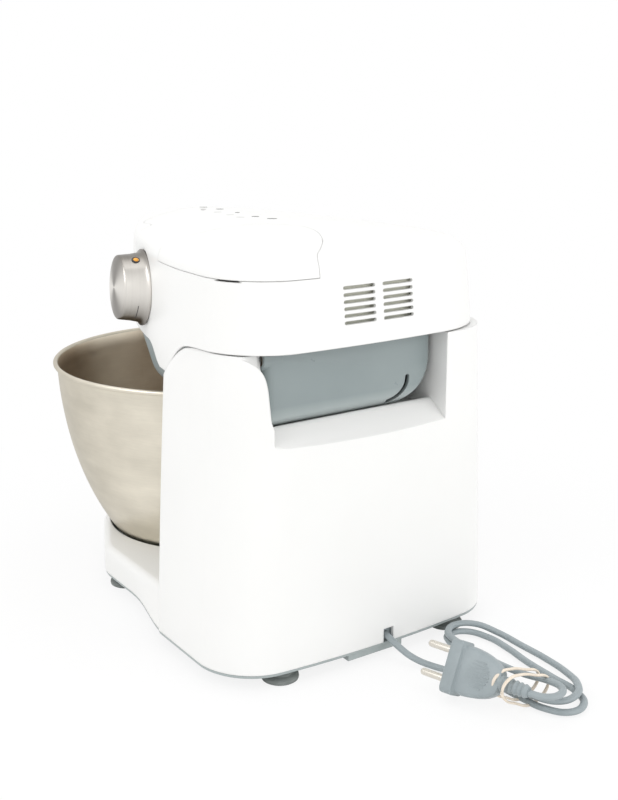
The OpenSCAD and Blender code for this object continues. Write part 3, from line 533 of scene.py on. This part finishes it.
# ---- Bowl ----
# Deep drawn from one disc of stainless steel, with its rim rolled outward and its inside and
# outside brushed round and round. A collar with three lugs is welded under its floor.
place = finish("bowl_steel", Metallic=1.0, Anisotropic=0.3)
centred = place.node("Mapping", {}, {"Vector": place, "Location": (-bowl_x / 1000, 0, 0)})
axes = centred.node("SeparateXYZ", {}, {"Vector": centred})
east, north, height = (Signal(place.tree, axes.socket.node.outputs[k]) for k in range(3))
bearing = east.math("ARCTAN2", north, east)
radius = (east * east + north * north) ** 0.5
rings = height.node("CombineXYZ", {}, {"X": bearing * 0.010, "Y": height, "Z": radius})
brushing = rings.node("TexNoise", {}, {"Vector": rings, "Scale": 900.0, "Detail": 4.0})
bands_round = rings.node("TexNoise", {}, {"Vector": rings, "Scale": 110.0, "Detail": 2.0})
scuffs = place.noise(30, 5, (1, 1, 1.6)) * 2.4 - 0.7
# The bowl's own curve tells the inside of its wall from the outside.
drop = (0.175 - height) * 5.181
wall_radius = 0.118 * (1.0 - drop * drop) ** 0.5 - 0.0006
inner = radius.math("LESS_THAN", radius, wall_radius)
tone = 0.30 * brushing + 0.30 * bands_round + 0.40 * scuffs
# The sheen is a painted highlight: the outside is painted brighter on the side turned towards the
# camera and darker towards its left edge.
sheen = bearing.math("MAXIMUM", bearing.math("COSINE", bearing + 0.9), 0.0) ** 5.0
outer_steel = (0.55 * tone + 0.42 * sheen).tint((0.40, 0.365, 0.29), (0.94, 0.885, 0.765))
# The glare is a painted highlight, a narrow upright streak on the inside wall. The inside, depth
# here, is painted darker and browner than the outside: painted shade.
glare = bearing.math("MAXIMUM", bearing.math("COSINE", bearing + 2.85), 0.0) ** 22.0
depth = (0.45 * tone + 0.60 * glare).tint((0.33, 0.25, 0.17), (0.93, 0.86, 0.72))
steel = inner.node("Mix", {"data_type": "RGBA"}, {0: inner, 6: outer_steel, 7: depth}, 2)
steel.feed("Base Color")
(0.30 + 0.16 * brushing + 0.06 * scuffs).feed("Roughness")
brushing.relief(0.00002)


def bowl_r(z):
    """Outer radius of the bowl at z."""
    return 118 * sqrt(1 - ((175 - z) / 193) ** 2)


bowl_floor, bowl_wall = 25, 1.2
outside = [(core, bowl_floor), (bowl_r(bowl_floor) - 12, bowl_floor),
           (bowl_r(bowl_floor) - 6, bowl_floor + 0.6), (bowl_r(28) - 1.6, 27.4)]
outside += [(bowl_r(z), z) for z in range(32, 164, 6)]
roll = [(119.2 + 1.8 * cos(radians(t)), 168.2 + 1.8 * sin(radians(t)))
        for t in range(-120, 181, 25)]
inside = [(r - bowl_wall, z + (bowl_wall if z < 28 else 0)) for r, z in reversed(outside[1:])]
inside.append((core, bowl_floor + bowl_wall))
bowl = turned(outside + [(bowl_r(165), 165), (117.9, 166.4)] + roll + [(116.7, 166)] + inside, 120)
made(placed(bowl, at_bowl), "mixing_bowl", "bowl_steel", "bowl", "bowl_steel", "bowl", sharp=50)
collar = turned([(58, 19.4), (60, 19.4), (60, 25), (58, 25)], 72)
collar = placed(joined(collar, *arcs(59.5, 64, 19.4, 21.4, 0, 26)), at_bowl)
made(collar, "collar_ring", "bowl_steel", "bowl", "bowl_steel", "bowl_collar")

# ---- Upper head moulding ----
# White shell over the drive, closed at the rear with two rows of air slots. It tapers to the
# nose and drops in two cheeks over the front of the shoulders.


def head_ring(z, less, back, d=0.0):
    """Outline of the head at z: less half width, its rear wall further forward by back."""
    w, x = 106.5 - less - d, rear_x - back - d
    length, front = 236 - d - 2 * (back + d), x - 69
    nose = []
    for t in range(92, 269, 2):
        c, s = cos(radians(t)), sin(radians(t))
        nose.append((front - length * abs(c) ** 1.25, (1 if s > 0 else -1) * w * abs(s) ** 1.25))
    return [(px, py, z) for px, py in rear_wall(w, 42 - d, x, 54 - d) + nose]


# Height, and how much less half width and length the head has there.
crown_side = smooth([(200, 0, 0), (225, 0, 0), (240, 0.6, 1.1), (256, 1.4, 2.7), (268, 2.1, 4),
                     (274, 3.0, 5.2), (278.5, 6.2, 8.2), (281.6, 13, 14), (284.6, 34, 38),
                     (287.6, 58, 62), (289.3, 84, 88)], 3)


def head_form(d=0.0):
    """The head's solid up to its crown, drawn in by d."""
    rings = [head_ring(190, 0, 0, d)]
    rings += [head_ring(z - d * min(1, max(0, (z - 262) / 18)), less, back, d)
              for z, less, back in crown_side]
    return loft(rings)


edge_side = [(-230, 300), (-230, 211), (26, 211)]
edge_side += smooth([(30, 211), (35, 210.5), (41, 208.3), (47, 204), (52, 200), (58, 197)], 3)
edge_side += seam_side + [(199, 300)]
cover_plan = smooth([(199, -52), (169, -46), (149, -30), (129, -15), (103, -5), (81, -8),
                     (63, -25), (57, -50), (57, -90)], 6) + [(59, -130), (199, -130)]
nose_plan = [(-200, -130), (-15, -130)]
nose_plan += smooth([(-15, -100), (-17, -66), (-45, -57), (-62, -30), (-66, 0), (-62, 30),
                     (-45, 57), (-17, 66), (-15, 100)], 6)
nose_plan += [(-15, 130), (-200, 130)]


def grown(plan, by):
    """An outline pushed outward by so many millimetres, whichever way round it is drawn."""
    twice_area = sum(ax * by_ - bx * ay
                     for (ax, ay), (bx, by_) in zip(plan, plan[1:] + plan[:1]))
    by = -by if twice_area < 0 else by
    out = []
    for k, (x, y) in enumerate(plan):
        (ax, ay), (bx, by_) = plan[k - 1], plan[(k + 1) % len(plan)]
        along = Vector((bx - ax, by_ - ay)).normalized()
        out.append((x + along.y * by, y - along.x * by))
    return out


def column(plan, low, grow=0.0, high=320):
    """A solid over an outline, from the level low upward."""
    return loft([[(x, y, z) for x, y in grown(plan, grow)] for z in (low, high)])


gap, cover_low, nose_low = 0.16, 269.2, 233.8
skin = carve(head_form(), head_form(2.5))
upper = carve(skin.copy(), prism(edge_side, -130, 130), "INTERSECT")
upper = carve(upper, column(cover_plan, cover_low, gap))
upper = carve(upper, column(nose_plan, nose_low, gap))
finger_grip = block(139, 168, -115, -93, 268.2, 269.4)
upper = carve(upper, finger_grip)
knob_spot, knob_turn, knob_lean = (16, -89.7, 244.5), -12, 86
at_knob = Matrix.Translation(knob_spot) @ turn_z(knob_turn) @ turn_x(knob_lean)
slot_r, slot_length, slot_pitch = 1.1, 24.5, 4.4
slot_end = [(slot_r * cos(radians(t)), slot_r * sin(radians(t))) for t in range(-90, 91, 30)]
slots = []
for y0 in (-31, -0.5):
    for k in range(6):
        z = 238.5 + slot_pitch * k + slot_r
        ring = [(y0 + slot_length - slot_r + a, z + b) for a, b in slot_end]
        ring += [(y0 + slot_r - a, z - b) for a, b in slot_end]
        slots.append(loft([[(x, y, h) for y, h in ring] for x in (165, 195)]))
upper = carve(upper, joined(*slots))
knob_room = turned([(core, 0.6), (27.7, 0.6), (27.7, 20), (core, 20)])
spindle_bore = turned([(core, -20), (5, -20), (5, 20), (core, 20)], 32)
for room in (knob_room, spindle_bore):
    upper = carve(upper, placed(room, at_knob))
# Under the corner cover a deck with the outlet's hole, and behind the nose cap a wall.
deck = carve(head_form(2), column(cover_plan, 250, -0.5), "INTERSECT")
deck = carve(deck, block(-200, 200, -130, 130, 262.5, 265), "INTERSECT")
deck = carve(deck, post(21, 200, 300, 101, -36))
frame_wall = carve(head_form(2), block(-64, -61, -28, 28, 248.5, 308.5), "INTERSECT")
frame_wall = carve(frame_wall, column(nose_plan, nose_low, gap))
upper = joined(upper, deck, frame_wall)
made(upper, "head_shell", "white_plastic", "head", "white_plastic", "head_upper_housing")

# ---- Printed marks ----
# Plain dashes printed in grey ink along the crown, four dark ones and a paler row beside
# them. They mark where a maker prints its tools and speeds, and say nothing.
place = finish("print_dark", Specular_IOR_Level=0.4)
place.noise(300, 2).tint((0.015, 0.015, 0.015), (0.04, 0.04, 0.04)).feed("Base Color")
(0.4 + 0.2 * place.noise(500, 2)).feed("Roughness")
place = finish("print_pale", Specular_IOR_Level=0.4)
place.noise(300, 2).tint((0.55, 0.55, 0.54), (0.64, 0.64, 0.63)).feed("Base Color")
(0.4 + 0.2 * place.noise(500, 2)).feed("Roughness")
dark_spots = ((-28, -1, 3), (-1, -1.5, 1.8), (27, -3, 2.8), (44, 0.5, 3.6))
pale_spots = ((-48, -4, 3), (-34, -12, 2), (-12, -12, 3), (8, -13, 3), (24, -14, 3))
for name, spots in (("print_dark", dark_spots), ("print_pale", pale_spots)):
    dashes = []
    for x, y, half in spots:
        dash = [(half * cos(radians(t)), 1.3 * sin(radians(t))) for t in range(0, 360, 20)]
        dashes.append(placed(loft([[(a, b, z) for a, b in dash] for z in (289, 289.42)]),
                             Matrix.Translation((x, y, 0)), turn_z(56)))
    made(joined(*dashes), name + "_marks", name, "head", "white_plastic")

# ---- Covers ----
# Two snap-in caps of the same white plastic, one at the rear corner over the fast outlet and one
# over the nose. Each lies flush, with a hairline gap all round.
cover = carve(skin.copy(), column(cover_plan, cover_low + 0.3), "INTERSECT")
made(cover, "corner_cap", "white_plastic", "corner_cover", "white_plastic", "high_speed_cover")
cap = carve(skin, column(nose_plan, nose_low + 0.2), "INTERSECT")
made(cap, "front_cap", "white_plastic", "nose_cap", "white_plastic", "slow_speed_cover")

# ---- Sheet behind the air slots ----
# A pale grey-beige sheet on the inside of the rear wall, behind the slots. Its colour is painted
# shade: it stands for the shaded inside of the head seen through the slots.
place = finish("slot_shade_sheet", Specular_IOR_Level=0.3)
place.noise(120, 3).tint((0.58, 0.58, 0.50), (0.66, 0.66, 0.58)).feed("Base Color")
(0.5 + 0.2 * place.noise(200, 2)).feed("Roughness")
place.noise(900, 2).relief(0.00005)
screen = block(170.6, 171.6, -34, 27, 235, 264)
made(screen, "slot_shade_sheet", "slot_shade_sheet", "head", "white_plastic")

# ---- Lower head moulding ----
# Grey belly under the head: it carries the hinge bushes and the motor, and its tray closes
# the head up to the nose round the planet drive.


def belly(d=0.0):
    """The belly's solid, drawn in by d. Its far side is drafted, its rear corners rounded."""
    lift = 9 if d else 0
    side = smooth([(164 - d, 200), (164 - d, 191.5), (163 - d, 185), (160.2 - d, 179),
                   (155.5 - d, 174.5 + d / 2), (149 - d, 172 + d), (141 - d, 171.5 + d)], 3)
    side += [(21 + d / 2, 171.5 + d), (16 + d / 2, 172.6 + d), (13 + d / 2, 174.5 + d),
             (-17 + d, 217), (-23 + d, 226 + lift), (164 - d, 226 + lift)]
    bm = prism(side, -130, 130)
    section = [(-64 + (15 - d) * cos(radians(t)), 186.5 + (15 - d) * sin(radians(t)))
               for t in range(180, 271, 6)]
    drafted_side = smooth([(10, 171.5), (22, 173.2), (33, 178.2), (41.5, 186), (47.2, 197),
                           (50.3, 209), (52, 222), (52, 260)])
    section += [(y - d, z + 0.5 * d) for y, z in drafted_side]
    section += [(-79 + d, 260)]
    bm = carve(bm, loft([[(x, y, z) for y, z in section] for x in (-60, 200)]), "INTERSECT")
    corner = 7 - d
    far_x, far_y = 164.5 - d - corner, 52 - d - corner
    near_x, near_y = 160.5 - d - corner, -79 + d + corner
    plan = [(far_x + corner * cos(radians(t)), far_y + corner * sin(radians(t)))
            for t in range(0, 91, 10)]
    plan += [(-40, 52 - d), (-40, -79 + d)]
    plan += [(near_x + corner * cos(radians(t)), near_y + corner * sin(radians(t)))
             for t in range(270, 361, 10)]
    bm = carve(bm, loft([[(x, y, z) for x, y in plan] for z in (150, 250)]), "INTERSECT")
    return carve(bm, loft([head_ring(z, 3.3 + d, 3.3 + d) for z in (150, 250)]), "INTERSECT")


def tray(d=0.0):
    """The shallow tray that closes the head from below, drawn in by d."""
    steps = [(213 + d, 8 + d), (214 + d, 5.6 + d), (216.5 + d / 2, 3.3 + d),
             (226.5 + (9 if d else 0), 3.3 + d)]
    bm = loft([head_ring(z, less, less) for z, less in steps])
    return carve(bm, block(-300, 64.5 - d, -200, 200, 100, 300), "INTERSECT")


lower = carve(belly(), tray(), "UNION")
for hollow in (belly(2.5), tray(2.5)):
    lower = carve(lower, hollow)
for boss in (rod(8, -80.6, -67), rod(8, 40, 51)):
    lower = carve(lower, boss, "UNION")
planet_opening = post(40.25, 153, 233, bowl_x, steps=96)
for bore in (rod(6, -84, -70), rod(6, 43, 57), planet_opening):
    lower = carve(lower, bore)
# The curved slot in the belly's rear, through which the head's catch is reached.
hook = [(18.6 * cos(radians(t)), 18.6 * sin(radians(t))) for t in range(-80, -5, 5)]
hook += [(16.8 + 1.8 * cos(radians(t)), 1.8 * sin(radians(t))) for t in range(30, 151, 30)]
hook += [(15 * cos(radians(t)), 15 * sin(radians(t))) for t in range(-8, -81, -6)]
lower = carve(lower, loft([[(x, 14 + a, 193.5 + b) for a, b in hook] for x in (146, 190)]))
made(lower, "head_belly", "grey_plastic", "head", "grey_plastic", "head_lower_housing")

# ---- Speed knob ----
# A turned and brushed metal cap with a domed face, on a plastic core. A small amber lens
# in its skirt shows the setting.
place = finish("knob_metal", Metallic=1.0, Anisotropic=0.4)
knob_centre = tuple(side / 1000 for side in knob_spot)
spun = place.node("VectorRotate", {"rotation_type": "EULER_XYZ", "invert": True},
                  {"Vector": place, "Center": knob_centre,
                   "Rotation": (radians(knob_lean), 0, radians(knob_turn))})
local = spun.node("VectorMath", {"operation": "SUBTRACT"}, {0: spun, 1: knob_centre})
axes = local.node("SeparateXYZ", {}, {"Vector": local})
east, north, height = (Signal(place.tree, axes.socket.node.outputs[k]) for k in range(3))
radius = (east * east + north * north) ** 0.5
fine = local.node("CombineXYZ", {}, {"X": radius, "Y": height, "Z": 0.0})
grooves = fine.node("TexNoise", {}, {"Vector": fine, "Scale": 2600.0, "Detail": 3.0})
# The fan of bright and dark sectors round the knob's axis is a painted reflection, standing in for
# the streaks that brushed metal reflects.
fan = east.math("ARCTAN2", north, east) * 2.0 - 0.25
glare = fan.math("COSINE", fan) * 0.5 + 0.5
tone = 0.22 * grooves + 0.78 * glare ** 1.6
tone.tint((0.13, 0.115, 0.10), (0.88, 0.85, 0.80)).feed("Base Color")
(0.22 + 0.2 * grooves).feed("Roughness")
grooves.relief(0.00002)
knob_profile = [(core, 1), (26.8, 1), (26.8, 1.8), (25.4, 2.6), (24.7, 3.4), (24.2, 5.2),
                (23.3, 10), (22.6, 17), (22.4, 18.3), (21.8, 19.0), (20.6, 19.4), (16, 20.1),
                (9, 20.8), (4, 21.05), (core, 21.1)]
knob = turned(knob_profile, 96)
made(placed(knob, at_knob), "speed_dial", "knob_metal", "knob", "knob_metal", "speed_knob",
     sharp=40)

place = finish("amber_lens", IOR=1.49, Roughness=0.15)
place.noise(500, 2).tint((0.85, 0.33, 0.02), (0.95, 0.45, 0.04)).feed("Base Color")
(0.12 + 0.1 * place.noise(800, 2)).feed("Roughness")
place.noise(900, 1).relief(0.00003)
at_lens = at_knob @ turn_z(62) @ Matrix.Translation((0, 0, 8.8)) @ turn_y(90)
lens = turned([(core, 22), (2.1, 22), (2.1, 23.6), (1.7, 24.2), (1, 24.5), (core, 24.6)], 32)
made(placed(lens, at_lens), "dial_lens", "amber_lens", "knob", "amber_lens", "knob_lens")
place = finish("dark_plastic", Specular_IOR_Level=0.45)
place.noise(140, 3).tint((0.035, 0.035, 0.037), (0.06, 0.06, 0.062)).feed("Base Color")
(0.35 + 0.2 * place.noise(200, 3)).feed("Roughness")
place.noise(1500, 2).relief(0.00003)
bezel = turned([(2.1, 22), (3.0, 22), (3.0, 23.9), (2.6, 24.15), (2.2, 24.0)], 32)
made(placed(bezel, at_lens), "lens_ring", "dark_plastic", "knob", "dark_plastic")
mark_section = ((23, 8.6), (23.95, 8.6), (23.9, 9), (23, 9))
mark = [[(r * cos(radians(t)), r * sin(radians(t)), z) for r, z in mark_section]
        for t in range(-56, -21, 4)]
made(placed(loft(mark), at_knob), "dial_mark", "dark_plastic", "knob", "dark_plastic")

# ---- Release lever ----
# A lever of grey plastic on the far shoulder, moulded in one with its hub and its shaft. The
# shaft crosses the shoulder and carries the latch hook.
lever = turned([(core, 108.3), (8.4, 108.3), (9, 108.9), (9, 111.6), (8.2, 112.5),
                (core, 112.9)], 48)
lever = placed(lever, Matrix.Translation((lever_x, 0, lever_z)), turn_x(-90))
arm_edge = ((-1, 0.8, -1), (1, 0.8, -1), (1, 1, -0.6), (1, 1, 0.6), (1, 0.8, 1), (-1, 0.8, 1),
            (-1, 1, 0.6), (-1, 1, -0.6))
arm = []
for z, half, low, high in ((2, 5.5, 110, 113), (-6, 6.4, 110, 114.4), (-18, 6, 110.5, 115),
                           (-30, 6.2, 110.6, 115), (-37, 5.4, 111, 114.8), (-39.6, 3, 111.6, 114)):
    middle, thick = (low + high) / 2, high - low
    arm.append([(lever_x + sx * half * a, middle + b * thick / 2, lever_z + z)
                for sx, a, b in arm_edge])
lever = joined(lever, loft(arm), rod(4, 54.4, 109, lever_x, lever_z))
made(lever, "release_arm", "grey_plastic", "lever", "grey_plastic", "release_lever")

# ---- Drive and fittings ----
# Motor, belt, gears, bearings and small fittings keep the shape of their solids. Each gets
# the finish of what such a part is made of: steel, bronze, copper, cast alloy or plastic.
place = finish("plated_steel", Metallic=1.0)
place.noise(300, 3).tint((0.55, 0.56, 0.57), (0.74, 0.74, 0.74)).feed("Base Color")
(0.22 + 0.2 * place.noise(500, 3)).feed("Roughness")
place.noise(2200, 2).relief(0.00002)
place = finish("bearing_bronze", Metallic=1.0)
place.noise(260, 3).tint((0.42, 0.25, 0.12), (0.60, 0.40, 0.22)).feed("Base Color")
(0.35 + 0.2 * place.noise(500, 3)).feed("Roughness")
place.noise(2200, 2).relief(0.00003)
place = finish("board_laminate", Specular_IOR_Level=0.5)
place.noise(350, 3).tint((0.03, 0.16, 0.06), (0.05, 0.25, 0.10)).feed("Base Color")
(0.3 + 0.2 * place.noise(500, 3)).feed("Roughness")
place.noise(1200, 2).relief(0.00004)
made(block(61, 119, 38, 39.6, 190, 215.5), "drive_board", "board_laminate", "head",
     "board_laminate", "control_board")
place = finish("motor_iron", Metallic=0.9)
layers = place.noise(30, 2, (0.2, 0.2, 60))
layers.tint((0.16, 0.16, 0.165), (0.34, 0.34, 0.345)).feed("Base Color")
(0.4 + 0.2 * layers).feed("Roughness")
layers.relief(0.0001)
place = finish("copper", Metallic=1.0)
strands = place.noise(80, 2, (1, 1, 30))
strands.tint((0.42, 0.15, 0.05), (0.75, 0.33, 0.14)).feed("Base Color")
(0.3 + 0.2 * strands).feed("Roughness")
strands.relief(0.0001)
place = finish("cast_alloy", Metallic=1.0)
place.noise(400, 4).tint((0.42, 0.43, 0.44), (0.62, 0.63, 0.64)).feed("Base Color")
(0.45 + 0.2 * place.noise(700, 3)).feed("Roughness")
place.noise(900, 4).relief(0.00008)
place = finish("gear_plastic", Specular_IOR_Level=0.45)
place.noise(200, 3).tint((0.66, 0.63, 0.54), (0.76, 0.73, 0.65)).feed("Base Color")
(0.35 + 0.2 * place.noise(300, 2)).feed("Roughness")
place.noise(1500, 2).relief(0.00003)
place = finish("belt_rubber", Specular_IOR_Level=0.3)
place.noise(300, 3).tint((0.02, 0.02, 0.021), (0.05, 0.05, 0.052)).feed("Base Color")
(0.55 + 0.2 * place.noise(300, 2)).feed("Roughness")
place.noise(900, 2).relief(0.00006)
# Every solid takes its finish in place of its plain colour.
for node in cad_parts.values():
    for k, old in enumerate(node.data.materials):
        node.data.materials[k] = finishes[old.name.split(".")[0]]

# ---- Table and light ----
# A plain white table. A large soft key stands on the knob's side, a fill behind the machine
# and a lamp above it, in an even white surround.
table = bmesh.new()
bmesh.ops.create_grid(table, x_segments=1, y_segments=1, size=6)
mesh = bpy.data.meshes.new("table")
table.to_mesh(mesh)
table.free()
floor = bpy.data.objects.new("table", mesh)
scene.collection.objects.link(floor)
place = finish("table_white", Roughness=0.8)
place.noise(3, 1).tint((0.86, 0.86, 0.86), (0.88, 0.88, 0.88)).feed("Base Color")
ray = place.node("LightPath")
seen = [Signal(ray.tree, ray.socket.node.outputs[name]) for name in
        ("Is Camera Ray", "Is Glossy Ray", "Is Transmission Ray")]
glow = ray.node("Emission", {}, {"Color": (1, 1, 1, 1), "Strength": 1.0})
base = Signal(ray.tree, ray.tree.nodes["Principled BSDF"].outputs[0])
away = place.node("VectorMath", {"operation": "DISTANCE"}, {0: place, 1: (0.08, 0, 0)}, out=1)
clear = away.math("MINIMUM", away.math("MAXIMUM", away * 4.0 - 1.0, 0.0), 1.0)
share = (0.84 + 0.16 * clear) * ray.math("MINIMUM", seen[0] + seen[1] + seen[2], 1.0)
top = ray.node("MixShader", {}, {0: share, 1: base, 2: glow})
ray.tree.links.new(top.socket, ray.tree.nodes["Material Output"].inputs[0])
mesh.materials.append(finishes["table_white"])

world = scene.world or bpy.data.worlds.new("surround")
scene.world = world
world.use_nodes = True
tree = world.node_tree
tree.nodes.clear()
ray = Signal(tree, tree.nodes.new("ShaderNodeLightPath").outputs["Is Camera Ray"])
glossy = Signal(tree, ray.socket.node.outputs["Is Glossy Ray"])
through = Signal(tree, ray.socket.node.outputs["Is Transmission Ray"])
share = ray.math("MINIMUM", ray + glossy + through, 1.0)
dim = ray.node("Background", {}, {"Color": (1.0, 1.0, 1.0, 1), "Strength": 0.92})
bright = ray.node("Background", {}, {"Color": (1, 1, 1, 1), "Strength": 1.0})
mixed = ray.node("MixShader", {}, {0: share, 1: dim, 2: bright})
output = tree.nodes.new("ShaderNodeOutputWorld")
tree.links.new(mixed.socket, output.inputs[0])

aim = Vector((0.05, 0, 0.15))
for name, spot, size, power in (("key", (0.2, -1.6, 1.5), 1.2, 11),
                                ("fill", (1.9, 0.7, 0.5), 1.6, 12.5),
                                ("top", (-0.2, 0.1, 2.2), 1.5, 6)):
    lamp = bpy.data.objects.new(name, bpy.data.lights.new(name, "AREA"))
    lamp.data.size, lamp.data.energy = size, power
    scene.collection.objects.link(lamp)
    towards = (aim - Vector(spot)).to_track_quat("-Z", "Y")
    lamp.matrix_world = Matrix.Translation(spot) @ towards.to_matrix().to_4x4()
